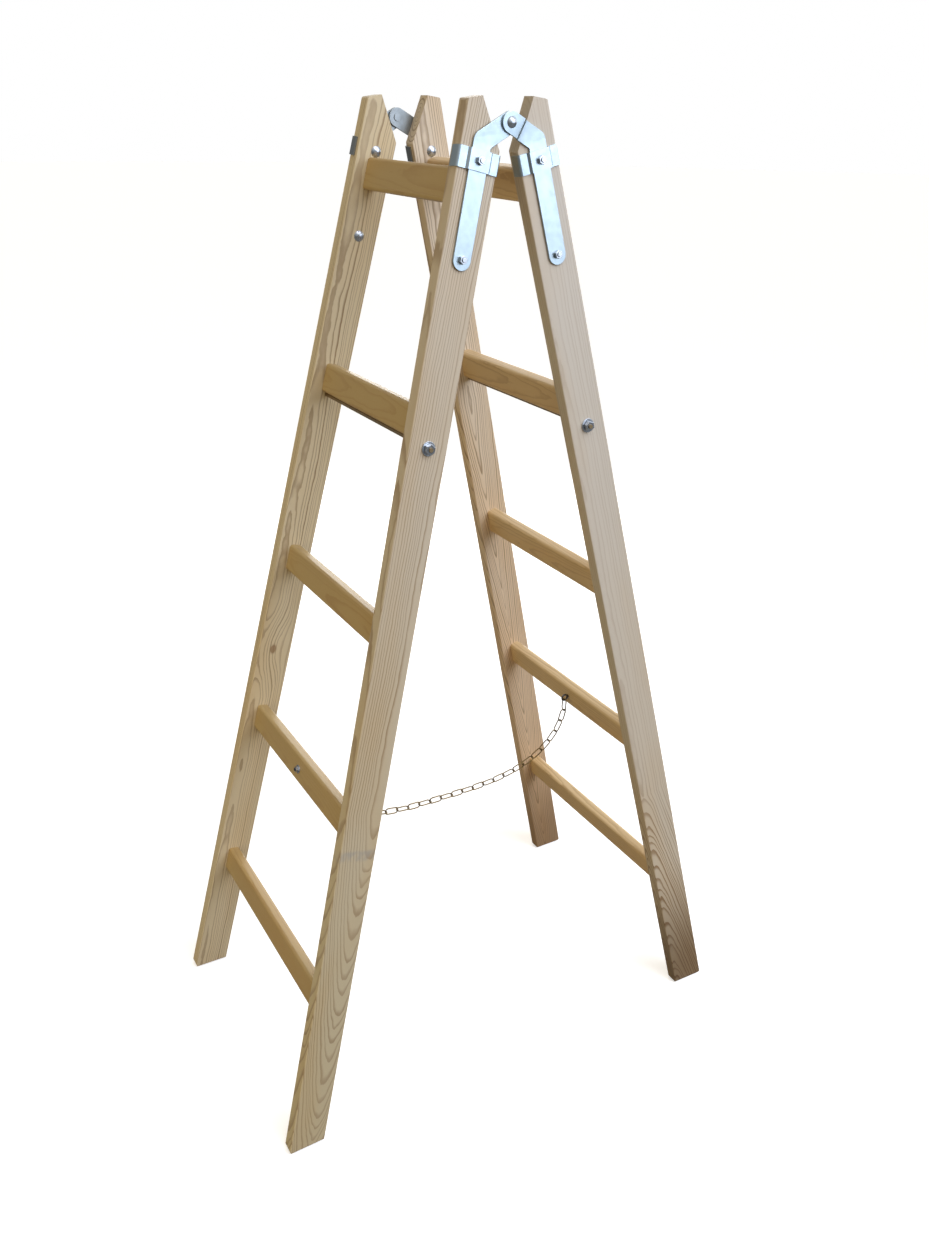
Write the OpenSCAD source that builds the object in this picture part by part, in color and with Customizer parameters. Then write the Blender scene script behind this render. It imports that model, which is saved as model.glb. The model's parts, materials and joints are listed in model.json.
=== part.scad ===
// Wooden trestle ladder: two equal five-rung sections on two folding hinges.
// X runs along the rungs, Y across the spread of the legs, Z up from the floor.
// The front section leans back from -Y, the rear section is its half turn about Z.

/* [Spread] */
// Angle between the two sections when the ladder stands open, degrees
open_angle = 27; // [18:0.5:34]
// Gap between the two sections when they are folded flat
fold_gap = 9; // [7:0.5:16]

/* [Stiles] */
// Length of a stile along its centre line
stile_l = 1552; // [1500:1:1800]
// Width of a stile, across the section
stile_w = 58; // [50:0.5:70]
// Thickness of a stile
stile_t = 22; // [20:0.5:32]
// Rounding of a stile's long edges
stile_edge_r = 2; // [0.5:0.1:4]
// Outer width of a section across the tops of its stiles
top_w = 303; // [280:1:360]
// Outer width of a section across its feet
foot_w = 504; // [440:1:600]
// Height of the hinge pin below the stile's tip
pivot_below_tip = 20; // [16:0.5:30]
// Width left flat at the stile's tip
tip_flat = 20; // [12:0.5:28]
// Fall of the tip from its inner corner to its outer corner
tip_fall = 8; // [2:0.5:14]
// Depth below the hinge pin at which the tip's taper ends
taper_below_pivot = 37; // [20:0.5:39]
// Rounding of the tip's outer corner
tip_edge_r = 5; // [2:0.5:9]
// Rounding of the foot's outer corner
foot_edge_r = 7; // [3:0.5:14]
// Rounding of the foot's inner corner
heel_edge_r = 4; // [2:0.5:8]
// Rounding of the foot along the stile's broad faces
foot_side_r = 5; // [1:0.5:8]

/* [Rungs] */
// Distance from rung to rung along the stile
rung_pitch = 300; // [270:1:320]
// Distance of the top rung's centre below the hinge pin
top_rung_drop = 85; // [84:1:100]
// Height of a rung
rung_h = 44; // [36:0.5:48]
// Thickness of a rung
rung_t = 20; // [18:0.5:26]
// Rounding of a rung's long edges
rung_edge_r = 5; // [1:0.5:8]
// Length of the blind tenon at each rung end
tenon_l = 14; // [8:0.5:16]
// Height of the tenon
tenon_h = 34; // [24:0.5:35]
// Thickness of the tenon
tenon_t = 12; // [8:0.5:17]
// Glue gap around a tenon
tenon_clear = 0.15; // [0.05:0.05:0.3]

/* [Tie rods] */
// Diameter of the tie rod
rod_d = 6; // [5:0.5:8]
// Gap between the tie rod and the rung above it
rod_gap = 1; // [0.5:0.5:8]
// Outer diameter of the tie rod's washers
rod_washer_d = 20; // [17:0.5:24]
// Thickness of the tie rod's washers
rod_washer_t = 1.6; // [1:0.1:3]
// Width across flats of the tie rod's nuts
rod_nut_af = 13; // [12:0.5:16]
// Height of the tie rod's nuts
rod_nut_h = 5.5; // [3:0.5:8]

/* [Hinge arms] */
// Width of a hinge arm
arm_w = 26; // [22:0.5:30]
// Thickness of a hinge arm
arm_t = 3; // [2:0.1:4]
// Depth of the arm's lower bolt below the hinge pin
arm_bolt_drop = 171; // [130:1:220]
// Depth of the arm's in-plane bend below the hinge pin
arm_bend_drop = 30; // [26:0.5:34]
// Distance from the hinge pin to the start of the set in the outer arm
joggle_start = 15.5; // [15.2:0.1:18]
// Length of the set in the outer arm
joggle_l = 4; // [3:0.5:6]
// Running gap between the two arms of a hinge
arm_gap = 0.2; // [0.1:0.05:0.4]
// Diameter of the hinge pin
pin_d = 8; // [6:0.5:10]
// Radial running clearance of the hinge pin
pin_clear = 0.05; // [0.02:0.01:0.1]
// Diameter of the hinge pin's outer head
pin_head_d = 14; // [12.5:0.5:18]
// Height of the hinge pin's outer head
pin_head_h = 3.5; // [2:0.5:5]
// Diameter of the pin's riveted inner end
pin_tail_d = 11; // [10.5:0.5:14]
// Height of the pin's riveted inner end
pin_tail_h = 1; // [0.5:0.1:1.4]

/* [Hinge clamps] */
// Depth of the clamp bolt below the hinge pin
clamp_bolt_drop = 53; // [52:0.5:60]
// Height of a clamp along the stile
clamp_h = 25; // [18:0.5:26]
// Thickness of the clamp's strip
clamp_t = 2; // [1.2:0.1:2.5]
// Depth of the clamp's flanges on the stile's narrow faces
clamp_flange = 15; // [8:0.5:20]
// Side play between the hinge arm and the clamp's raised middle
clamp_play = 1; // [0.5:0.1:2]
// Length of the slope beside the clamp's raised middle
clamp_slope = 3; // [2:0.5:5]
// Outer radius of the clamp's bends round the stile
clamp_bend_r = 3.5; // [2.5:0.5:5]

/* [Bolts] */
// Diameter of the coach bolts
bolt_d = 6; // [5:0.5:8]
// Diameter of the coach bolts' mushroom heads
bolt_head_d = 16; // [13:0.5:20]
// Height of the coach bolts' mushroom heads
bolt_head_h = 3.5; // [2:0.5:5]
// Width across flats of the coach bolts' nuts
nut_af = 10; // [9.5:0.5:13]
// Height of the coach bolts' nuts
nut_h = 5; // [3:0.5:7]
// Length of bolt left standing out of a nut
bolt_stand = 1.5; // [0.5:0.5:4]
// Radial clearance of a bolt or rod in its hole
bolt_clear = 0.2; // [0.1:0.05:0.5]

/* [Chain] */
// Wire diameter of a chain link
wire_d = 2; // [1.6:0.1:2.2]
// Inner length of a chain link
link_inner_l = 21.8; // [21:0.1:24]
// Outer width of a chain link
link_w = 13; // [11:0.1:14]
// Number of links on each side of the middle link
half_links = 14; // [14:2:14]
// Steepness of the chain at its eyes, degrees
chain_end_angle = 88; // [70:1:90]
// Gap left where one link bears on the next
link_gap = 0.15; // [0.1:0.05:0.25]
// Wire diameter of the chain eyes
eye_wire_d = 3; // [2.5:0.1:3.2]
// Inner diameter of the chain eyes
eye_inner_d = 8; // [7.5:0.1:9]
// Stand-off of the eye's ring from the rung
eye_stand = 0.5; // [0.5:0.5:2.5]
// Diameter of the eye's shank
eye_shank_d = 5; // [4:0.5:6]
// Outer diameter of the eye's washer
eye_washer_d = 14; // [12:0.5:18]
// Thickness of the eye's washer
eye_washer_t = 1.2; // [0.8:0.1:2]
// Width across flats of the eye's nut
eye_nut_af = 8; // [7.5:0.5:11]
// Height of the eye's nut
eye_nut_h = 4; // [3:0.5:6]

/* [Hidden] */
$fn = 48;
// Overrun of every cut past the face it opens
over = 5;
// Steps in a rounded outline corner
corner_steps = 6;
// Number of halvings in the search for the chain's shape
solve_steps = 40;
// Rung under which the tie rod runs, and rung that holds the chain, from the top
tie_rung_index = 2;
chain_rung_index = 4;
rung_numbers = [1 : 5];
// First link of each part of the half chain, counted from the middle link
lower_run_index = 1;
middle_run_index = 7;
upper_run_index = 13;

// Lean of one section from the vertical
lean = open_angle / 2;
// Lean of a stile within its section
splay = atan((foot_w - top_w) / 2 / stile_l);
// Inner edge, centre line and outer edge of a stile, measured out from the fold's mid plane
v_in = fold_gap / 2;
v_out = v_in + stile_w;
v_mid = (v_in + v_out) / 2;
// Height of the hinge pin above the floor
pivot_h = (stile_l - pivot_below_tip) * cos(lean) - v_mid * sin(lean);
// Half width over the stiles at the hinge pin's level
half_w = top_w / 2 + pivot_below_tip * tan(splay);
// Inner face of the lower part of a hinge arm at its bend, where its upper part starts
arm_x = half_w + arm_bend_drop * tan(splay);
arm_outer_x = arm_x + arm_t + arm_gap;
arm_slant_t = arm_t / cos(splay);
arm_pivot = [0, 0];
arm_bend = [-v_mid, -arm_bend_drop];
arm_foot = [-v_mid, -arm_bolt_drop];
limb_angle = atan2(arm_bend.y, arm_bend.x);
joggle_end = joggle_start + joggle_l;
// Outer faces on which the coach bolts' nuts bear, from the stile's outer face
clamp_seat = arm_t + clamp_t;
rod_drop = top_rung_drop + (tie_rung_index - 1) * rung_pitch + rung_h / 2 + rod_gap + rod_d / 2;
chain_drop = top_rung_drop + (chain_rung_index - 1) * rung_pitch;
rung_inner_v = v_mid - rung_t / 2;
rung_outer_v = v_mid + rung_t / 2;
eye_ring_r = (eye_inner_d + eye_wire_d) / 2;
eye_ring_v = rung_inner_v - eye_stand - eye_inner_d / 2 - eye_wire_d;
reach = 2 * stile_l;

// Points of an outline's corner, rounded to radius r
function unit(a) = a / norm(a);
function turn(a) = a > 180 ? a - 360 : a < -180 ? a + 360 : a;
function corner(before, at, after, r) =
    let (
        u = unit(before - at),
        w = unit(after - at),
        half = acos(u * w) / 2,
        c = at + unit(u + w) * r / sin(half),
        from = at + u * r / tan(half) - c,
        to = at + w * r / tan(half) - c,
        start = atan2(from.y, from.x),
        sweep = turn(atan2(to.y, to.x) - start)
    )
    [for (k = [0 : corner_steps]) c + r * [cos(start + sweep * k / corner_steps),
                                           sin(start + sweep * k / corner_steps)]];
// The same line on the other side of the X axis, run backwards
function flipped(line) = [for (k = [len(line) - 1 : -1 : 0]) [line[k].x, -line[k].y]];

// Level of the floor in a section's own frame, at a distance v from the mid plane
function floor_z(v) = -(pivot_h + v * sin(lean)) / cos(lean);
// Outer and inner faces of a stile at a level of its section
function outer_x(z) = half_w - z * tan(splay);
function inner_x(z) = outer_x(z) - stile_t / cos(splay);
// The floor in a stile's own frame: its slope across the width, and its level at a depth x in the thickness
foot_lean = atan(tan(lean) / cos(splay));
function foot_level(x) = -(pivot_h / cos(lean) + x * sin(splay)) * cos(foot_lean) / cos(splay);
function rung_z(i) = -top_rung_drop - (i - 1) * rung_pitch;

// The hanging chain: link i turns up from level by link_angle, from the middle to the eye.
// Links bear on each other end to end, and each stands square across its neighbours.
link_step = link_inner_l - link_gap;
function link_angle(i, power) = chain_end_angle * pow(i / half_links, power);
function link_turn(i) = i % 2 == 0 ? 90 : 0;
function sum(list, k = 0) = k == len(list) ? 0 : list[k] + sum(list, k + 1);
function half_span(power) =
    link_step / 2 + link_step * sum([for (i = [1 : half_links]) cos(link_angle(i, power))]);
function solve_power(span, low, high, steps) =
    steps == 0 ? (low + high) / 2
    : half_span((low + high) / 2) < span
        ? solve_power(span, (low + high) / 2, high, steps - 1)
        : solve_power(span, low, (low + high) / 2, steps - 1);
// Lowest place in the eye's ring, on which the chain hangs: distance from the middle and height
eye_y = chain_drop * sin(lean) + eye_ring_v * cos(lean);
eye_z = pivot_h - chain_drop * cos(lean) + eye_ring_v * sin(lean) - (eye_inner_d - link_gap) / 2;
power_low_share = 0.1;
power_high_share = 20;
chain_power = solve_power(eye_y, power_low_share, power_high_share, solve_steps);
function step_vector(i) = link_step * [cos(link_angle(i, chain_power)), -sin(link_angle(i, chain_power))];
// Upper bearing of link i on the front half, as distance along Y and height
function bearing(i) = i == half_links ? [-eye_y, eye_z] : bearing(i + 1) + step_vector(i + 1);

// Frames of the two sections, and of a stile's outer face
module front() {
    translate([0, 0, pivot_h]) rotate([-lean, 0, 0]) children();
}
module rear() {
    rotate([0, 0, 180]) front() children();
}
module on_stile() {
    translate([half_w, 0, 0]) rotate([0, -splay, 0]) children();
}
module both_stiles() {
    on_stile() children();
    mirror([1, 0, 0]) on_stile() children();
}
// Axis along X at a place in the stile's width and length
module along_x(z) {
    translate([0, -v_mid, z]) rotate([0, 90, 0]) children();
}
// A side outline of a section, drawn through the whole width
module side_prism() {
    rotate([90, 0, 90]) linear_extrude(reach, center = true) children();
}
module rounded_rect(w, h, r) {
    square([w - 2 * r, h], center = true);
    square([w, h - 2 * r], center = true);
    for (x = [-1, 1], y = [-1, 1])
        translate([x * (w / 2 - r), y * (h / 2 - r)]) circle(r);
}
module bar_outline(from, to, w) {
    translate(from) rotate(atan2(to.y - from.y, to.x - from.x)) translate([0, -w / 2])
        square([norm(to - from), w]);
    translate(from) circle(w / 2);
    translate(to) circle(w / 2);
}
module dome(d, h) {
    ball_r = (d * d / 4 + h * h) / (2 * h);
    intersection() {
        translate([0, 0, h - ball_r]) sphere(ball_r);
        cylinder(d = d, h = h);
    }
}
module hexagon(af, h) {
    cylinder(d = af / cos(30), h = h, $fn = 6);
}

// A stile in its section's frame, on the right-hand side
module stile_outline() {
    tip_out = [-v_out, pivot_below_tip - tip_fall];
    tip_in = [-v_out + tip_flat, pivot_below_tip];
    taper_end = [-v_in, -taper_below_pivot];
    foot_in = [-v_in, floor_z(v_in)];
    foot_out = [-v_out, floor_z(v_out)];
    polygon(concat(
        corner(foot_out, tip_out, tip_in, tip_edge_r),
        [tip_in, taper_end],
        corner(taper_end, foot_in, foot_out, heel_edge_r),
        corner(foot_in, foot_out, tip_out, foot_edge_r)
    ));
}
// Space that leaves a stile's foot rounded along its two broad faces
module foot_space() {
    outer = [0, foot_level(0)];
    inner = [-stile_t, foot_level(-stile_t)];
    arc_in = corner([-stile_t, 0], inner, outer, foot_side_r);
    arc_out = corner(inner, outer, [0, 0], foot_side_r);
    on_stile() rotate([90 + foot_lean, 0, 0]) linear_extrude(reach, center = true)
        polygon(concat(arc_in, arc_out, [
            [over, arc_out[corner_steps].y], [over, reach],
            [-stile_t - over, reach], [-stile_t - over, arc_in[0].y]
        ]));
}
module tenons(i, clear) {
    z = rung_z(i);
    h = tenon_h / 2 + clear;
    deep = tenon_l + clear;
    intersection() {
        translate([0, -v_mid, z])
            cube([reach, tenon_t + 2 * clear, tenon_h + 2 * clear], center = true);
        translate([0, -v_mid, 0]) rotate([90, 0, 0]) linear_extrude(stile_w, center = true)
            polygon([[inner_x(z - h) + deep, z - h], [inner_x(z + h) + deep, z + h],
                     [-inner_x(z + h) - deep, z + h], [-inner_x(z - h) - deep, z - h]]);
    }
}
module stile_bores() {
    for (drop = [clamp_bolt_drop, arm_bolt_drop])
        on_stile() translate([-stile_t - over, 0, 0]) along_x(-drop)
            cylinder(d = bolt_d + 2 * bolt_clear, h = stile_t + 2 * over);
    along_x(-rod_drop) cylinder(d = rod_d + 2 * bolt_clear, h = reach);
}
module right_stile() {
    difference() {
        intersection() {
            on_stile() translate([-stile_t / 2, -v_mid, 0])
                linear_extrude(reach, center = true) rounded_rect(stile_t, stile_w, stile_edge_r);
            side_prism() stile_outline();
            foot_space();
        }
        for (i = rung_numbers) tenons(i, tenon_clear);
        stile_bores();
    }
}
module front_right_stile() color("burlywood") front() right_stile();
module front_left_stile() color("burlywood") front() mirror([1, 0, 0]) right_stile();
module rear_left_stile() color("burlywood") rear() right_stile();
module rear_right_stile() color("burlywood") rear() mirror([1, 0, 0]) right_stile();

// A rung with shoulders cut to the stiles' lean and a blind tenon at each end
module rung(i) {
    z = rung_z(i);
    h = rung_h / 2;
    difference() {
        union() {
            intersection() {
                translate([0, -v_mid, z]) rotate([90, 0, 90]) linear_extrude(reach, center = true)
                    rounded_rect(rung_t, rung_h, rung_edge_r);
                translate([0, -v_mid, 0]) rotate([90, 0, 0]) linear_extrude(stile_w, center = true)
                    polygon([[inner_x(z - h), z - h], [inner_x(z + h), z + h],
                             [-inner_x(z + h), z + h], [-inner_x(z - h), z - h]]);
            }
            tenons(i, 0);
        }
        if (i == chain_rung_index)
            translate([0, -v_mid, z]) rotate([90, 0, 0])
                cylinder(d = eye_shank_d + 2 * bolt_clear, h = rung_t + 2 * over, center = true);
    }
}
module front_rung(i) color("tan") front() rung(i);
module rear_rung(i) color("tan") rear() rung(i);

// Tie rod with a washer and a hexagon nut on each outer face
rod_seat_x = outer_x(-rod_drop) + rod_washer_t / cos(splay) + rod_nut_af / 2 * tan(splay);
rod_end_x = rod_seat_x + rod_nut_h + bolt_stand;
module tie_rod() {
    translate([-rod_end_x, 0, 0]) along_x(-rod_drop) cylinder(d = rod_d, h = 2 * rod_end_x);
}
module tie_washers() {
    both_stiles() along_x(-rod_drop / cos(splay)) difference() {
        cylinder(d = rod_washer_d, h = rod_washer_t);
        translate([0, 0, -over]) cylinder(d = rod_d + 4 * bolt_clear, h = rod_washer_t + 2 * over);
    }
}
module tie_nut() {
    translate([rod_seat_x, 0, 0]) along_x(-rod_drop) difference() {
        hexagon(rod_nut_af, rod_nut_h);
        translate([0, 0, -over]) cylinder(d = rod_d, h = rod_nut_h + 2 * over);
    }
}
module tie_nuts() {
    tie_nut();
    mirror([1, 0, 0]) tie_nut();
}
module front_tie_rod() color("silver") front() tie_rod();
module front_tie_washers() color("gainsboro") front() tie_washers();
module front_tie_nuts() color("silver") front() tie_nuts();
module rear_tie_rod() color("silver") rear() tie_rod();
module rear_tie_washers() color("gainsboro") rear() tie_washers();
module rear_tie_nuts() color("silver") rear() tie_nuts();

// Hinge arms: flat bar bent in its plane, lying on the stile and set upright at the bend
module arm_outline() {
    bar_outline(arm_pivot, arm_bend, arm_w);
    bar_outline(arm_bend, arm_foot, arm_w);
}
module arm_plate() {
    low = -arm_bolt_drop - arm_w;
    intersection() {
        side_prism() arm_outline();
        rotate([90, 0, 0]) linear_extrude(reach, center = true)
            polygon([[outer_x(low), low], [outer_x(low) + arm_slant_t, low],
                     [arm_x + arm_slant_t, -arm_bend_drop], [arm_x + arm_slant_t, arm_w],
                     [arm_x, arm_w], [arm_x, -arm_bend_drop]]);
    }
}
module arm_bores(pin_bore) {
    for (drop = [clamp_bolt_drop, arm_bolt_drop])
        on_stile() translate([-over, 0, 0]) along_x(-drop)
            cylinder(d = bolt_d + 2 * bolt_clear, h = arm_t + 2 * over);
    rotate([0, 90, 0]) cylinder(d = pin_bore, h = reach);
}
module flat_arm(pin_bore) {
    difference() {
        arm_plate();
        arm_bores(pin_bore);
    }
}
module set_arm(pin_bore) {
    difference() {
        union() {
            intersection() {
                arm_plate();
                rotate([limb_angle, 0, 0]) translate([0, joggle_end, -reach / 2]) cube(reach);
            }
            intersection() {
                side_prism() arm_outline();
                rotate([limb_angle, 0, 0]) linear_extrude(reach, center = true)
                    polygon([[arm_outer_x, -arm_w], [arm_outer_x + arm_slant_t, -arm_w],
                             [arm_outer_x + arm_slant_t, joggle_start],
                             [arm_x + arm_slant_t, joggle_end], [arm_x, joggle_end],
                             [arm_outer_x, joggle_start]]);
            }
        }
        arm_bores(pin_bore);
    }
}
loose_bore = pin_d + 2 * pin_clear;
module front_right_arm() color("lightsteelblue") front() flat_arm(pin_d);
module front_left_arm() color("lightsteelblue") front() mirror([1, 0, 0]) set_arm(pin_d);
module rear_left_arm() color("lightsteelblue") rear() flat_arm(loose_bore);
module rear_right_arm() color("lightsteelblue") rear() mirror([1, 0, 0]) set_arm(loose_bore);

// Hinge pins, fast in the front arms; the head is outside, the riveted tail inside
pin_out_x = arm_outer_x + arm_slant_t;
module hinge_pin(head_gap, tail_gap) {
    translate([arm_x - tail_gap, 0, 0]) rotate([0, 90, 0])
        cylinder(d = pin_d, h = pin_out_x + head_gap - arm_x + tail_gap);
    translate([pin_out_x + head_gap, 0, 0]) rotate([0, 90, 0]) dome(pin_head_d, pin_head_h);
    translate([arm_x - tail_gap, 0, 0]) rotate([0, -90, 0]) cylinder(d = pin_tail_d, h = pin_tail_h);
}
module right_hinge_pin() color("gray") translate([0, 0, pivot_h]) hinge_pin(arm_gap, 0);
module left_hinge_pin() color("gray") translate([0, 0, pivot_h]) mirror([1, 0, 0]) hinge_pin(0, arm_gap);

// Clamps: a strip over the arm and round both narrow faces of the stile
module clamp_outline() {
    half = stile_w / 2;
    rise = arm_w / 2 + clamp_play;
    shift = clamp_t * tan(atan2(arm_t, clamp_slope) / 2);
    side_out = [
        [-clamp_flange, half + clamp_t], [clamp_t, half + clamp_t],
        [clamp_t, rise + clamp_slope + shift], [clamp_seat, rise + shift]
    ];
    side_in = [[arm_t, rise], [0, rise + clamp_slope], [0, half], [-clamp_flange, half]];
    outer = concat(
        [side_out[0]],
        corner(side_out[0], side_out[1], side_out[2], clamp_bend_r),
        [side_out[2], side_out[3]]
    );
    polygon(concat(outer, flipped(outer), flipped(side_in), side_in));
}
module clamp() {
    on_stile() difference() {
        translate([0, -v_mid, -clamp_bolt_drop]) linear_extrude(clamp_h, center = true) clamp_outline();
        along_x(-clamp_bolt_drop) cylinder(d = bolt_d + 2 * bolt_clear, h = clamp_seat + over);
    }
}
module front_right_clamp() color("lightsteelblue") front() clamp();
module front_left_clamp() color("lightsteelblue") front() mirror([1, 0, 0]) clamp();
module rear_left_clamp() color("lightsteelblue") rear() clamp();
module rear_right_clamp() color("lightsteelblue") rear() mirror([1, 0, 0]) clamp();

// Coach bolts from inside the section, with a hexagon nut outside
module coach_bolts(drop, seat) {
    both_stiles() {
        translate([-stile_t, 0, 0]) along_x(-drop) {
            cylinder(d = bolt_d, h = stile_t + seat + nut_h + bolt_stand);
            mirror([0, 0, 1]) dome(bolt_head_d, bolt_head_h);
        }
    }
}
module bolt_nuts(drop, seat) {
    both_stiles() translate([seat, 0, 0]) along_x(-drop) difference() {
        hexagon(nut_af, nut_h);
        translate([0, 0, -over]) cylinder(d = bolt_d, h = nut_h + 2 * over);
    }
}
module front_clamp_bolts() color("silver") front() coach_bolts(clamp_bolt_drop, clamp_seat);
module front_clamp_nuts() color("gainsboro") front() bolt_nuts(clamp_bolt_drop, clamp_seat);
module front_arm_bolts() color("silver") front() coach_bolts(arm_bolt_drop, arm_t);
module front_arm_nuts() color("gainsboro") front() bolt_nuts(arm_bolt_drop, arm_t);
module rear_clamp_bolts() color("silver") rear() coach_bolts(clamp_bolt_drop, clamp_seat);
module rear_clamp_nuts() color("gainsboro") rear() bolt_nuts(clamp_bolt_drop, clamp_seat);
module rear_arm_bolts() color("silver") rear() coach_bolts(arm_bolt_drop, arm_t);
module rear_arm_nuts() color("gainsboro") rear() bolt_nuts(arm_bolt_drop, arm_t);

// Chain eye: a ring on a shank through the rung, with a washer and a nut outside
module chain_eye() {
    shank_from = eye_ring_v + eye_ring_r;
    shank_to = rung_outer_v + eye_washer_t + eye_nut_h + bolt_stand;
    translate([0, 0, -chain_drop]) {
        translate([0, -eye_ring_v, 0]) rotate([0, 90, 0]) rotate_extrude()
            translate([eye_ring_r, 0]) circle(d = eye_wire_d);
        translate([0, -shank_from, 0]) rotate([90, 0, 0])
            cylinder(d = eye_shank_d, h = shank_to - shank_from);
    }
}
module eye_nut() {
    translate([0, -rung_outer_v, -chain_drop]) rotate([90, 0, 0]) difference() {
        union() {
            cylinder(d = eye_washer_d, h = eye_washer_t);
            translate([0, 0, eye_washer_t]) hexagon(eye_nut_af, eye_nut_h);
        }
        translate([0, 0, -over]) cylinder(d = eye_shank_d, h = eye_washer_t + eye_nut_h + 2 * over);
    }
}
module front_chain_eye() color("dimgray") front() chain_eye();
module front_eye_nut() color("gainsboro") front() eye_nut();
module rear_chain_eye() color("dimgray") rear() chain_eye();
module rear_eye_nut() color("gainsboro") rear() eye_nut();

// Chain link, long along X and lying in the XY plane
module link() {
    bend_r = (link_w - wire_d) / 2;
    leg_l = link_inner_l + wire_d - 2 * bend_r;
    for (end = [0, 1])
        mirror([end, 0]) translate([leg_l / 2, 0, 0]) rotate(-90) rotate_extrude(angle = 180)
            translate([bend_r, 0]) circle(d = wire_d);
    for (side = [-1, 1])
        translate([-leg_l / 2, side * bend_r, 0]) rotate([0, 90, 0]) cylinder(d = wire_d, h = leg_l);
}
// Link i of the front half; the middle link is number 0
module chain_link(i) {
    middle = bearing(i) + step_vector(i) / 2;
    translate([0, middle.x, middle.y]) rotate([90, 0, 90]) rotate(-link_angle(i, chain_power))
        rotate([link_turn(i), 0, 0]) link();
}
module chain_run(first, last) {
    color("darkgoldenrod") for (i = [first : last]) chain_link(i);
}
module chain_front_upper() chain_run(upper_run_index, half_links);
module chain_front_middle() chain_run(middle_run_index, upper_run_index - 1);
module chain_front_lower() chain_run(lower_run_index, middle_run_index - 1);
module chain_rear_upper() mirror([0, 1, 0]) chain_front_upper();
module chain_rear_middle() mirror([0, 1, 0]) chain_front_middle();
module chain_rear_lower() mirror([0, 1, 0]) chain_front_lower();
module chain_centre_link() {
    color("darkgoldenrod") translate([0, 0, bearing(0).y]) rotate([90, 0, 90])
        rotate([link_turn(0), 0, 0]) link();
}

front_left_stile();
front_right_stile();
rear_left_stile();
rear_right_stile();
for (i = rung_numbers) {
    front_rung(i);
    rear_rung(i);
}
front_tie_rod();
front_tie_washers();
front_tie_nuts();
rear_tie_rod();
rear_tie_washers();
rear_tie_nuts();
front_left_arm();
front_right_arm();
rear_left_arm();
rear_right_arm();
front_left_clamp();
front_right_clamp();
rear_left_clamp();
rear_right_clamp();
left_hinge_pin();
right_hinge_pin();
front_clamp_bolts();
front_clamp_nuts();
front_arm_bolts();
front_arm_nuts();
rear_clamp_bolts();
rear_clamp_nuts();
rear_arm_bolts();
rear_arm_nuts();
front_chain_eye();
front_eye_nut();
rear_chain_eye();
rear_eye_nut();
chain_front_upper();
chain_front_middle();
chain_front_lower();
chain_centre_link();
chain_rear_lower();
chain_rear_middle();
chain_rear_upper();
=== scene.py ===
import json
import math

import bpy
from mathutils import Matrix, Vector


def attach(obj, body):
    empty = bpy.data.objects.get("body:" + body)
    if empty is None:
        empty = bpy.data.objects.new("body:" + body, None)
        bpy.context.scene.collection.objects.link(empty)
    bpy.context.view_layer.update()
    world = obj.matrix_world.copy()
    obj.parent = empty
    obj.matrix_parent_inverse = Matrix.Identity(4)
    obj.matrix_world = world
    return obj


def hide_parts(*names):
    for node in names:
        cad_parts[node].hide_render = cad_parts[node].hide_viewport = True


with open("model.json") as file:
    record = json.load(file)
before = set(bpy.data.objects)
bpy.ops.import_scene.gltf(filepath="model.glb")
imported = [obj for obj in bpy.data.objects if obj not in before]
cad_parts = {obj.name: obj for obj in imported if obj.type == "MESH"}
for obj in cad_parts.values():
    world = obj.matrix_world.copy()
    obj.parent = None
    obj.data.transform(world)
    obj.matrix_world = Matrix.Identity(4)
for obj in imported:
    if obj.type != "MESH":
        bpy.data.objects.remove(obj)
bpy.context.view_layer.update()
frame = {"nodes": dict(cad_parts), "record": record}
record = frame["record"]
body_of_node = {node: body for body, members in record["behaviour"]["bodies"].items()
                for node in members}

# The ladder's own sizes that the grain follows, in metres
LEAN = math.radians(13.5)
STILE_L, TOP_W, FOOT_W = 1.552, 0.303, 0.504
SPLAY_SLOPE = (FOOT_W - TOP_W) / 2 / STILE_L
SPLAY = math.atan(SPLAY_SLOPE)
PIVOT = Vector((0, 0, 1.48185))
PIVOT_BELOW_TIP = 0.020
PIVOT_HALF_W = TOP_W / 2 + PIVOT_BELOW_TIP * SPLAY_SLOPE
STILE_MIDDLE = 0.0335
TOP_RUNG_DROP, RUNG_PITCH, RUNG_COUNT = 0.085, 0.300, 5


class Wire:
    """A number on a shader's wire. Arithmetic on it adds Math nodes."""

    def __init__(self, paint, socket):
        self.paint, self.socket = paint, socket

    def calc(self, operation, *values):
        return self.paint.node("ShaderNodeMath", {"operation": operation},
                               dict(enumerate(values)))[0]

    def __add__(self, other): return self.calc("ADD", self, other)
    def __radd__(self, other): return self.calc("ADD", other, self)
    def __sub__(self, other): return self.calc("SUBTRACT", self, other)
    def __rsub__(self, other): return self.calc("SUBTRACT", other, self)
    def __mul__(self, other): return self.calc("MULTIPLY", self, other)
    def __rmul__(self, other): return self.calc("MULTIPLY", other, self)
    def __truediv__(self, other): return self.calc("DIVIDE", self, other)
    def __rtruediv__(self, other): return self.calc("DIVIDE", other, self)
    def __pow__(self, other): return self.calc("POWER", self, other)
    def __rpow__(self, other): return self.calc("POWER", other, self)
    def root(self): return self.calc("SQRT", self)
    def fract(self): return self.calc("FRACT", self)
    def size(self): return self.calc("ABSOLUTE", self)
    def at_least(self, other): return self.calc("MAXIMUM", self, other)
    def at_most(self, other): return self.calc("MINIMUM", self, other)

    def step(self, start, end):
        """0 before start, 1 after end, smooth between."""
        return self.paint.node("ShaderNodeMapRange", {"interpolation_type": "SMOOTHSTEP"},
                               {"Value": self, "From Min": start, "From Max": end})[0]


# Sockets of the Mix node that take and give colours
MIX_SHARE, MIX_A, MIX_B, MIX_RESULT = 0, 6, 7, 2


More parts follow.
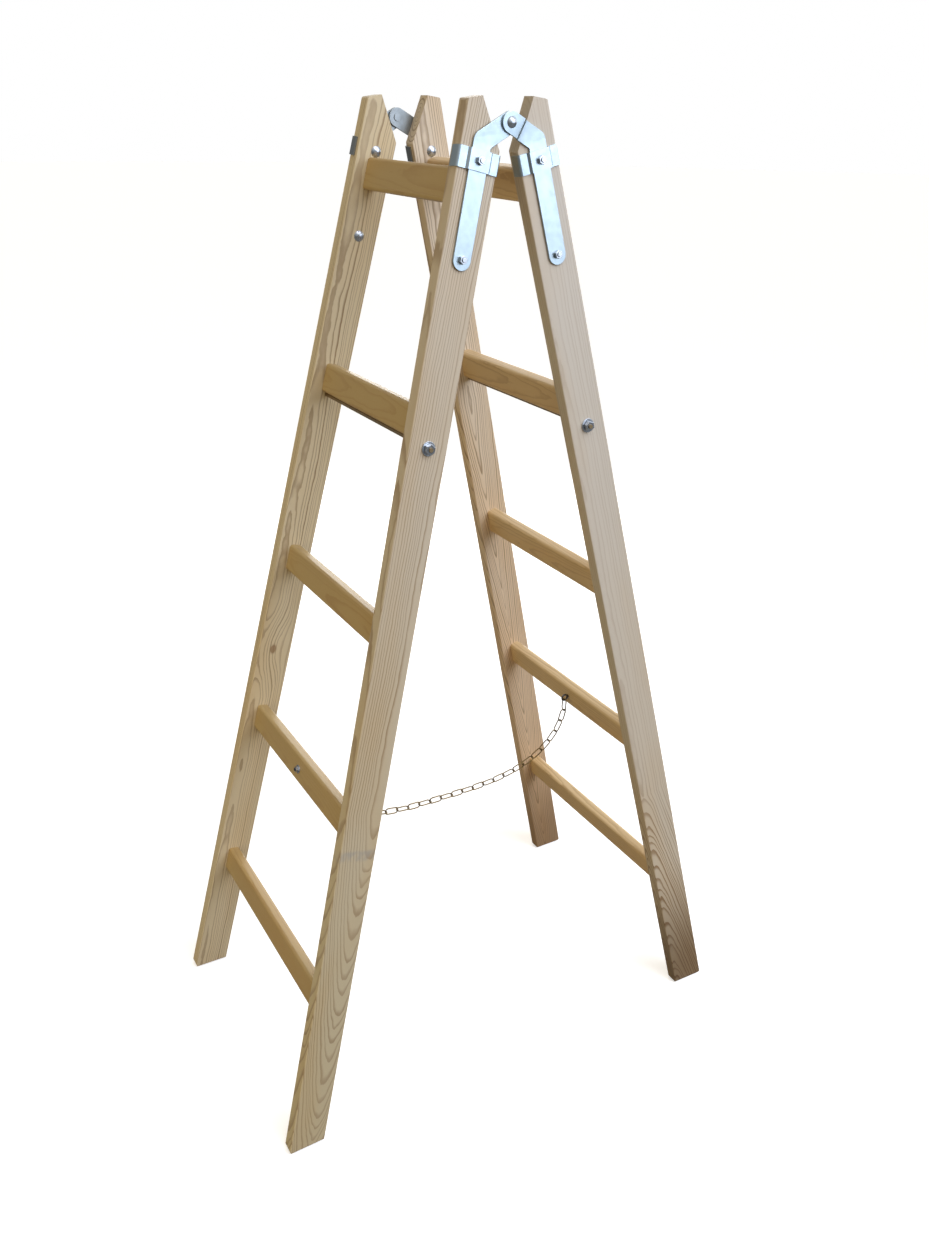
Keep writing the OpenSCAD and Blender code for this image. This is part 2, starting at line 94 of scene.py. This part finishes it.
class Paint:
    """The finish of a piece, or of the studio's walls, under construction."""

    def __init__(self, holder, shader="BSDF_PRINCIPLED"):
        holder.use_nodes = True
        self.holder, self.tree = holder, holder.node_tree
        self.shader = next(n for n in self.tree.nodes if n.type == shader)

    def node(self, kind, settings=None, sockets=None):
        """A new node's outputs, in order."""
        made = self.tree.nodes.new(kind)
        for key, value in (settings or {}).items():
            setattr(made, key, value)
        for key, value in (sockets or {}).items():
            self.put(made.inputs[key], value)
        return [Wire(self, output) for output in made.outputs]

    def named(self, kind):
        """A new node's outputs, by name."""
        return {wire.socket.name: wire for wire in self.node(kind)}

    def put(self, socket, value):
        """A wire or a plain value goes into the socket."""
        if isinstance(value, Wire):
            self.tree.links.new(value.socket, socket)
        elif socket.type == "RGBA":
            socket.default_value = (*value, 1)
        else:
            socket.default_value = value

    def noise(self, vector, scale, detail=2.0, roughness=0.5):
        return self.node("ShaderNodeTexNoise", None,
                         {"Vector": vector, "Scale": scale, "Detail": detail,
                          "Roughness": roughness})[0]

    def placed(self, vector, shift, turn=(0, 0, 0), scale=(1, 1, 1)):
        return self.node("ShaderNodeMapping", {"vector_type": "POINT"},
                         {"Vector": vector, "Location": shift, "Rotation": turn,
                          "Scale": scale})[0]

    def pattern(self, vector, repeats, shift=(0, 0, 0), detail=2.0, roughness=0.5):
        """Noise with its own number of repeats in a metre along each axis."""
        return self.noise(self.placed(vector, shift, scale=repeats), 1.0, detail, roughness)

    def mix(self, share, a, b, blend="MIX"):
        return self.node("ShaderNodeMix", {"data_type": "RGBA", "blend_type": blend},
                         {MIX_SHARE: share, MIX_A: a, MIX_B: b})[MIX_RESULT]

    def join(self, x, y, z):
        return self.node("ShaderNodeCombineXYZ", None, {"X": x, "Y": y, "Z": z})[0]

    def split(self, vector):
        return self.node("ShaderNodeSeparateXYZ", None, {"Vector": vector})

    def own(self, turn=None, place=None):
        """Object coordinates or, with a turn, coordinates along a piece's own axes."""
        coords = self.named("ShaderNodeTexCoord")["Object"]
        if turn is None:
            return coords
        return self.placed(coords, -(turn @ place), turn.to_euler())

    def bump(self, height, strength, distance):
        return self.node("ShaderNodeBump", None,
                         {"Strength": strength, "Distance": distance, "Height": height})[0]

    def finish(self, **sockets):
        for key, value in sockets.items():
            self.put(self.shader.inputs[key.replace("_", " ")], value)
        return self.holder


def toned(colour, tone):
    return tuple(c * t for c, t in zip(colour, tone))


# Patterns of pine: repeats in a metre along the grain, across the width and through the thickness
DRIFT_DEEP, DRIFT_ACROSS = (2.3, 0, 0), (1.7, 0, 0)
WAVE, RIPPLE = (9, 30, 30), (45, 90, 90)
PATCH, BROAD = (5, 22, 22), (2.6, 14, 14)
FIBRE, FLECK = (22, 900, 900), (60, 1500, 1500)
RAGGED = (60, 90, 0)
# The same in a metre away from the heart: years of wider rings, and of darker ones
WIDE_YEARS, DARK_YEARS = 95, 170

# How far the rings stray, in metres, and where in a year's ring the dark late wood comes and goes
WAVE_DEPTH, RIPPLE_DEPTH = 0.006, 0.0016
LATE_START, LATE_END = (0.50, 0.90), (0.92, 1.0)

# A knot: the reach of the rings that bend round it, its core and its rim
KNOT_LENGTH, KNOT_WIDTH, KNOT_SWELL = 0.10, 0.034, 0.013
KNOT_CORE, KNOT_RIM_START, KNOT_RIM_END = (0.0030, 0.0055), (0.0028, 0.0044), (0.0048, 0.0075)

# Places along a stile between which the foot's tone comes in, and the toe's darker tone: both are
# painted shade, the stile darker and warmer towards the floor
FOOT_SHADE_REACH, TOE_SHADE_REACH = (0.3, 1.5), (1.22, 1.50)

# The third of these tones darkens the toe: painted shade
WARM_TONE, PORE_TONE, TOE_SHADE_TONE = (0.97, 0.86, 0.70), (0.45, 0.45, 0.45), (0.36, 0.28, 0.19)
KNOT_BROWN, SCUFF_GREY = (0.30, 0.17, 0.08), (0.33, 0.34, 0.35)


def pine(name, turn, place, seed, heart, rise, pale, dark, ring, lines, wander=0.012, sway=0.0,
         taper=None, calm=None, foot=None, toe=0.0, knot=None, scuff=None):
    """Planed pine. A piece's own axes run along the grain, across its width and through it.

    heart: the heart's place across and through the piece; sway, rise: its drift along the grain
    ring, lines, wander: a year's width, how dark its line is, how much the heart wanders
    taper: where the rings start to taper, with the slope, so that they show as arches there
    calm: the lines are faint before this stretch; foot: the tone towards the foot, painted shade
    toe: how much painted shade darkens the toe; knot: its place
    scuff: the middle and half length of a grey smear
    """
    p = Paint(bpy.data.materials.new(name))
    own = p.own(turn, place)
    along, across, deep = p.split(own)

    # Distance from the heart, made uneven
    drift = p.pattern(own, DRIFT_DEEP, (seed, seed * 0.37, 0))
    drift_across = p.pattern(own, DRIFT_ACROSS, (seed * 1.9, 4.2, 0))
    wave = p.pattern(own, WAVE, (0, 0, seed))
    ripple = p.pattern(own, RIPPLE, (0, 0, seed))
    y = across - heart[0] - along * sway + (drift_across - 0.5) * wander * 1.6
    z = deep - heart[1] - along * rise + (drift - 0.5) * wander
    radius = (y * y + z * z).root() + (wave - 0.5) * WAVE_DEPTH + (ripple - 0.5) * RIPPLE_DEPTH
    if taper:
        start, slope = taper
        radius = radius + (along - start).at_least(0.0) * slope
    if knot:
        du, dv = along - knot[0], across - knot[1]
        reach = ((du / KNOT_LENGTH) ** 2.0 + (dv / KNOT_WIDTH) ** 2.0).root()
        radius = radius + (1.0 - reach.step(0.0, 1.0)) * KNOT_SWELL
        core = ((du * 0.6) ** 2.0 + dv * dv).root() + (ripple - 0.5) * 0.002

    # Lines of late wood, stronger in some years and patches
    wide_years = p.noise(p.join(radius * WIDE_YEARS, seed, 0.0), 1.0, 1.0)
    dark_years = p.noise(p.join(radius * DARK_YEARS, seed + 5.0, 0.0), 1.0, 1.0)
    phase = (radius / ring + wide_years * 2.2).fract()
    late = phase.step(*LATE_START) * (1.0 - phase.step(*LATE_END))
    patch = p.pattern(own, PATCH, (0, 0, seed * 3.0))
    fibre = p.pattern(own, FIBRE, (0, 0, seed), 3.0, 0.6)
    fleck = p.pattern(own, FLECK, (seed, 0, 0), 1.0)
    broad = p.pattern(own, BROAD, (seed, 0, 0))
    share = late * (patch * 0.9 + 0.35) * (dark_years * 1.5 + 0.3) * lines
    if calm:
        share = share * (along.step(*calm) * 0.75 + 0.25)
    share = share + (fibre - 0.5) * 0.20

    # Painted shade: down the stile the colour turns to the darker, warmer foot tone
    if foot:
        pale = p.mix(along.step(*FOOT_SHADE_REACH), pale, foot)
    colour = p.mix(share.at_least(0.0).at_most(1.0), pale, dark)
    colour = p.mix(broad.step(0.40, 0.72) * 0.6, colour, WARM_TONE, "MULTIPLY")
    colour = p.mix(fleck.step(0.66, 0.8) * 0.10, colour, toned(dark, PORE_TONE))
    if knot:
        rim = core.step(*KNOT_RIM_START) * (1.0 - core.step(*KNOT_RIM_END))
        brown = (1.0 - core.step(*KNOT_CORE)) * 0.75 + rim * 0.3
        colour = p.mix(brown, colour, KNOT_BROWN)
    # Painted shade: the toe is darkened further
    if toe:
        colour = p.mix(along.step(*TOE_SHADE_REACH) * toe, colour, TOE_SHADE_TONE, "MULTIPLY")
    if scuff:
        middle, half_length = scuff
        ragged = p.pattern(own, RAGGED, (0, 0, seed), 3.0)
        smear = 1.0 - ((along - middle) / half_length).size().step(0.4, 1.0)
        colour = p.mix(smear * ragged.step(0.3, 0.7) * 0.45, colour, SCUFF_GREY)
    return p.finish(Base_Color=colour, Roughness=0.42 - late * 0.08 + (fibre - 0.5) * 0.12,
                    Normal=p.bump(late * 0.5 + fibre * 0.5, 0.15, 0.0006),
                    Specular_IOR_Level=0.5)


# Patterns of zinc and of tarnish, as repeats in a metre
ZINC_CLOUDS, ZINC_FILM, ZINC_SPECKS, ROLLING_LINES = 120, 28, 1400, (60, 1800, 40)
TARNISH, WIRE_SPECKS = 90, 900
DULL_TONE, FILM_TONE = (0.72, 0.72, 0.72), (0.86, 0.90, 0.94)


def zinc(name, colour, rough, clouded):
    """Zinc-plated steel: cloudy crystals, fine rolling lines and a duller film here and there."""
    p = Paint(bpy.data.materials.new(name))
    coords = p.own()
    cloud = p.noise(coords, ZINC_CLOUDS, 3.0, 0.6)
    film = p.noise(coords, ZINC_FILM)
    speck = p.noise(coords, ZINC_SPECKS)
    line = p.pattern(coords, ROLLING_LINES)
    tint = p.mix(cloud.step(0.35, 0.7) * clouded, colour, toned(colour, DULL_TONE))
    tint = p.mix(film.step(0.5, 0.75) * 0.25, tint, toned(colour, FILM_TONE))
    return p.finish(Base_Color=tint, Metallic=1.0,
                    Roughness=rough + (cloud - 0.5) * 0.22 + (film - 0.5) * 0.1,
                    Normal=p.bump(speck * 0.5 + line * 0.5, 0.10, 0.0002))


def brass(name, colour, dark):
    """Brass-coloured chain wire, a little tarnished."""
    p = Paint(bpy.data.materials.new(name))
    coords = p.own()
    tarnish = p.noise(coords, TARNISH, 3.0, 0.6)
    speck = p.noise(coords, WIRE_SPECKS)
    tint = p.mix(tarnish.step(0.4, 0.75) * 0.6, colour, dark)
    return p.finish(Base_Color=tint, Metallic=1.0, Roughness=0.30 + tarnish * 0.22,
                    Normal=p.bump(speck, 0.08, 0.0002))


# Shading is soft below these angles, in degrees, and these widths are eased off sharp edges
WOOD_SMOOTH, METAL_SMOOTH = 20, 12
ARM_EASE, NUT_EASE, BOLT_EASE = 0.0004, 0.0004, 0.0003
MERGE_GAP, FLAT_ANGLE, SHARP_ANGLE = 1e-6, math.radians(0.4), math.radians(35)


def dressed(node, paint, smooth, ease=0.0):
    """A copy of the node's own shape that stands for it, with soft shading below the angle smooth
    and, where ease is given, with its sharp edges eased by that width."""
    bpy.ops.object.select_all(action="DESELECT")
    piece = bpy.data.objects.new(node + "_piece", frame["nodes"][node].data.copy())
    bpy.context.scene.collection.objects.link(piece)
    bpy.context.view_layer.objects.active = piece
    piece.select_set(True)
    bpy.ops.object.mode_set(mode="EDIT")
    bpy.ops.mesh.select_all(action="SELECT")
    bpy.ops.mesh.customdata_custom_splitnormals_clear()
    bpy.ops.mesh.remove_doubles(threshold=MERGE_GAP)
    if ease:
        bpy.ops.mesh.dissolve_limited(angle_limit=FLAT_ANGLE)
    bpy.ops.object.mode_set(mode="OBJECT")
    if ease:
        edges = piece.modifiers.new("ease", "BEVEL")
        edges.width, edges.segments = ease, 2
        edges.limit_method, edges.angle_limit = "ANGLE", SHARP_ANGLE
        edges.miter_outer = "MITER_ARC"
        edges.use_clamp_overlap = False
        bpy.ops.object.modifier_apply(modifier=edges.name)
    bpy.ops.object.shade_smooth_by_angle(angle=math.radians(smooth))
    piece.data.materials.clear()
    piece.data.materials.append(paint)
    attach(piece, body_of_node[node])
    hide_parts(node)


def paint_node(node, paint):
    """The node's own mesh, with a finish."""
    mesh = frame["nodes"][node].data
    mesh.materials.clear()
    mesh.materials.append(paint)


def half_turn(vector):
    """From the front section to the rear one."""
    return Vector((-vector.x, -vector.y, vector.z))


# Out across the front section and up along it
OUT = Vector((0, -math.cos(LEAN), math.sin(LEAN)))
UP = Vector((0, math.sin(LEAN), math.cos(LEAN)))


def stile_axes(section, side):
    """Down a stile, out across its width, out through its thickness; and its origin."""
    right = 1 if (side == "right") == (section == "front") else -1
    down = Vector((right * math.sin(SPLAY), -math.sin(LEAN) * math.cos(SPLAY),
                   -math.cos(LEAN) * math.cos(SPLAY)))
    face = down.cross(OUT)
    if face.x * right < 0:
        face = -face
    axes = down, OUT, face, PIVOT + Vector((right * PIVOT_HALF_W, 0, 0))
    return [half_turn(v) for v in axes] if section == "rear" else axes


def frame_of(x, y, z):
    """The turn to a piece's own axes, kept right-handed."""
    if x.cross(y).dot(z) < 0:
        z = -z
    return Matrix((x, y, z))


STILE_DARK = (0.33, 0.22, 0.12)
# Each stile's foot tone and toe darkening are painted shade
STILES = {
    ("front", "right"): dict(seed=3.1, heart=(-0.012, -0.010), rise=-0.008, sway=0.0256,
                             taper=(0.95, 0.11), ring=0.0036, lines=0.75,
                             pale=(0.64, 0.55, 0.42), foot=(0.63, 0.54, 0.35),
                             scuff=(1.015, 0.012)),
    ("rear", "right"): dict(seed=8.4, heart=(0.009, -0.020), rise=0.004, wander=0.006,
                            taper=(1.08, -0.15), ring=0.0042, lines=1.15, calm=(0.95, 1.25),
                            pale=(0.64, 0.58, 0.49), foot=(0.66, 0.57, 0.43), toe=0.9),
    ("front", "left"): dict(seed=13.7, heart=(0.052, -0.050), rise=0.012, ring=0.0034,
                            lines=0.75, pale=(0.76, 0.65, 0.44), knot=(0.855, 0.037)),
    ("rear", "left"): dict(seed=21.2, heart=(0.026, -0.012), rise=-0.010, taper=(0.45, 0.07),
                           ring=0.0034, lines=0.8, pale=(0.79, 0.67, 0.51),
                           foot=(0.79, 0.57, 0.36), toe=0.7),
}
for (section, side), wood in STILES.items():
    down, out, face, origin = stile_axes(section, side)
    turn = frame_of(down, out, face)
    if turn.row[2].dot(face) < 0:
        wood = dict(wood, heart=(wood["heart"][0], -wood["heart"][1]), rise=-wood["rise"])
    node = "%s_%s_stile" % (section, side)
    dressed(node, pine("pine_" + node, turn, origin, dark=STILE_DARK, **wood), WOOD_SMOOTH)

# The rungs' wood colour, darker on the front section and paler on the rear one: painted shade and
# painted light for how each section is lit
RUNG_PALE_BY_LIGHT = {"front": (0.51, 0.37, 0.17), "rear": (0.74, 0.55, 0.31)}
RUNG_DARK = (0.40, 0.24, 0.09)
RUNG_SEED = {"front": 31.0, "rear": 33.4}
for section in ("front", "rear"):
    for number in range(1, RUNG_COUNT + 1):
        drop = TOP_RUNG_DROP + RUNG_PITCH * (number - 1)
        axes = OUT, UP, PIVOT - UP * drop + OUT * STILE_MIDDLE
        out, up, middle = [half_turn(v) for v in axes] if section == "rear" else axes
        node = "%s_rung_%d" % (section, number)
        wood = pine("pine_" + node, frame_of(Vector((1, 0, 0)), up, out), middle,
                    seed=RUNG_SEED[section] + number * 5.3,
                    heart=(0.012 - 0.006 * number, -0.034 + 0.004 * number),
                    rise=0.02 if number % 2 else -0.02, wander=0.010, ring=0.0030, lines=0.45,
                    pale=RUNG_PALE_BY_LIGHT[section], dark=RUNG_DARK)
        dressed(node, wood, WOOD_SMOOTH)

bright_zinc = zinc("bright_zinc_plate", (0.47, 0.55, 0.59), rough=0.36, clouded=0.15)
# A darker copy of the plate zinc for the left hinge, on the far side: painted shade
shaded_zinc = zinc("shaded_zinc_plate", (0.33, 0.35, 0.35), rough=0.42, clouded=0.25)
bolt_zinc = zinc("bolt_zinc", (0.52, 0.54, 0.57), rough=0.28, clouded=0.3)
# The tie rods are coloured dark brown like the shade under the rungs: painted shade
rod_steel = zinc("rod_steel", (0.40, 0.29, 0.16), rough=0.46, clouded=0.4)
eye_steel = zinc("dull_eye_steel", (0.13, 0.13, 0.14), rough=0.42, clouded=0.5)
chain_brass = brass("chain_brass", (0.24, 0.16, 0.06), dark=(0.07, 0.045, 0.02))

# The left hinge's plates and pin take the darker, shaded copy of the zinc
for node in sorted(frame["nodes"]):
    plate = shaded_zinc if "_left_" in node else bright_zinc
    if node.endswith("_arm"):
        dressed(node, plate, METAL_SMOOTH, ARM_EASE)
    elif node.endswith("_clamp"):
        dressed(node, plate, METAL_SMOOTH)
    elif node.endswith(("_nuts", "_washers", "_nut")):
        dressed(node, bolt_zinc, METAL_SMOOTH, NUT_EASE)
    elif node.endswith(("_bolts", "_pin")):
        dressed(node, shaded_zinc if node == "left_hinge_pin" else bolt_zinc, METAL_SMOOTH, BOLT_EASE)
    elif node.endswith("_rod"):
        paint_node(node, rod_steel)
    elif node.endswith("_eye"):
        paint_node(node, eye_steel)
    elif node.startswith("chain_"):
        paint_node(node, chain_brass)


def ray_kinds(p):
    """1 for rays that show the background, and 1 for rays that metal throws back."""
    path = p.named("ShaderNodeLightPath")
    return path["Is Camera Ray"].at_least(path["Is Transmission Ray"]), path["Is Glossy Ray"]


# The floor looks white, lights the ladder as warm boards and shows in the metal as grey
FLOOR_RADIUS, FLOOR_GAP = 30, 0.0005
bpy.ops.object.select_all(action="DESELECT")
bpy.ops.mesh.primitive_circle_add(vertices=96, radius=FLOOR_RADIUS, fill_type="NGON",
                                  location=(0, 0, -FLOOR_GAP))
floor = bpy.context.active_object
floor.name = "floor"
floor_paint = Paint(bpy.data.materials.new("pale_floor"))
seen, mirrored = ray_kinds(floor_paint)
floor_tint = floor_paint.mix(mirrored, (0.22, 0.155, 0.08), (0.24, 0.25, 0.26))
floor_glow = floor_paint.mix(seen, (0, 0, 0), (0.52, 0.52, 0.52))
floor_paint.finish(Base_Color=floor_paint.mix(seen, floor_tint, (0.9, 0.9, 0.9)), Roughness=1.0,
                   Specular_IOR_Level=0.0, Emission_Color=floor_glow, Emission_Strength=1.0)
floor.data.materials.append(floor_paint.holder)

# The walls look white too; the metal sees one side darker, a light ceiling and a bright far wall
ROOM_WARM, CEILING, FAR_WALL = (0.33, 0.29, 0.21), (0.8, 0.8, 0.8), (3.6, 3.6, 3.6)
DARK_SIDE, BRIGHT_SIDE = (0.26, 0.26, 0.25), (0.50, 0.57, 0.62)
world = bpy.data.worlds.new("studio")
bpy.context.scene.world = world
sky = Paint(world, "BACKGROUND")
seen, mirrored = ray_kinds(sky)
east, north, height = sky.split(sky.named("ShaderNodeTexCoord")["Generated"])
mirror_tint = sky.mix((east * 0.77 + north * 0.64).step(-0.5, 0.75), DARK_SIDE, BRIGHT_SIDE)
mirror_tint = sky.mix(height.step(0.2, 0.7), mirror_tint, CEILING)
far_wall = (north * 0.85 - east * 0.5).step(0.73, 0.84) * (1.0 - height.step(0.5, 0.75))
mirror_tint = sky.mix(far_wall, mirror_tint, FAR_WALL)
sky_tint = sky.mix(mirrored, ROOM_WARM, mirror_tint)
sky.finish(Color=sky.mix(seen, sky_tint, (1, 1, 1)), Strength=1.0)


def hung(name, lamp, direction, place=(0, 0, 0)):
    """A lamp at its place, pointing along the direction."""
    holder = bpy.data.objects.new(name, lamp)
    holder.location = place
    holder.rotation_mode = "QUATERNION"
    holder.rotation_quaternion = direction.to_track_quat("-Z", "Y")
    bpy.context.scene.collection.objects.link(holder)
    return holder


def sun(name, direction, strength, angle, colour):
    lamp = bpy.data.lights.new(name, "SUN")
    lamp.energy, lamp.angle, lamp.color = strength, math.radians(angle), colour
    hung(name, lamp, Vector(direction))


def panel(name, place, target, size, power, colour, mirrored=True):
    lamp = bpy.data.lights.new(name, "AREA")
    lamp.shape, lamp.size, lamp.energy, lamp.color = "SQUARE", size, power, colour
    holder = hung(name, lamp, Vector(target) - Vector(place), place)
    holder.visible_glossy = mirrored


sun("daylight", direction=(-0.64, -0.14, -0.755), strength=1.12, angle=50,
    colour=(0.94, 0.99, 1.14))
panel("window", place=(2.0, 1.3, 2.2), target=(0, 0, 1.0), size=2.2, power=38,
      colour=(0.84, 0.94, 1.14))
panel("front_fill", place=(0.2, -3.2, 1.0), target=(0, 0, 0.9), size=1.8, power=23.5,
      colour=(1.0, 0.89, 0.60), mirrored=False)
panel("back_fill", place=(-2.4, 1.8, 1.5), target=(0, 0, 0.9), size=2.0, power=36,
      colour=(1.0, 0.97, 0.92), mirrored=False)

# The photo's camera: its axes and place, and its lens in pixels of the photo
IMAGE_W, IMAGE_H = 929, 1238
FOCAL_LENGTH, CENTRE_X, CENTRE_Y = 1105.65, 472.69, 635.42
CAMERA_RIGHT = Vector((0.5007, 0.8655, 0.0136))
CAMERA_DOWN = Vector((0.3831, -0.2075, -0.9001))
CAMERA_AHEAD = Vector((-0.7762, 0.4559, -0.4354))
CAMERA_PLACE = Vector((1.4376, -0.7951, PIVOT.z + 0.0233))
SENSOR = 36

lens = bpy.data.cameras.new("camera")
lens.sensor_width, lens.sensor_fit = SENSOR, "AUTO"
lens.lens = FOCAL_LENGTH / IMAGE_H * SENSOR
lens.shift_x = (IMAGE_W / 2 - CENTRE_X) / IMAGE_H
lens.shift_y = (CENTRE_Y - IMAGE_H / 2) / IMAGE_H
lens.clip_start, lens.clip_end = 0.01, 200
camera = bpy.data.objects.new("camera", lens)
bpy.context.scene.collection.objects.link(camera)
camera_axes = Matrix((CAMERA_RIGHT, -CAMERA_DOWN, -CAMERA_AHEAD)).transposed()
camera.matrix_world = Matrix.Translation(CAMERA_PLACE) @ camera_axes.to_4x4()
bpy.context.scene.camera = camera
bpy.context.scene.view_settings.view_transform = "Standard"
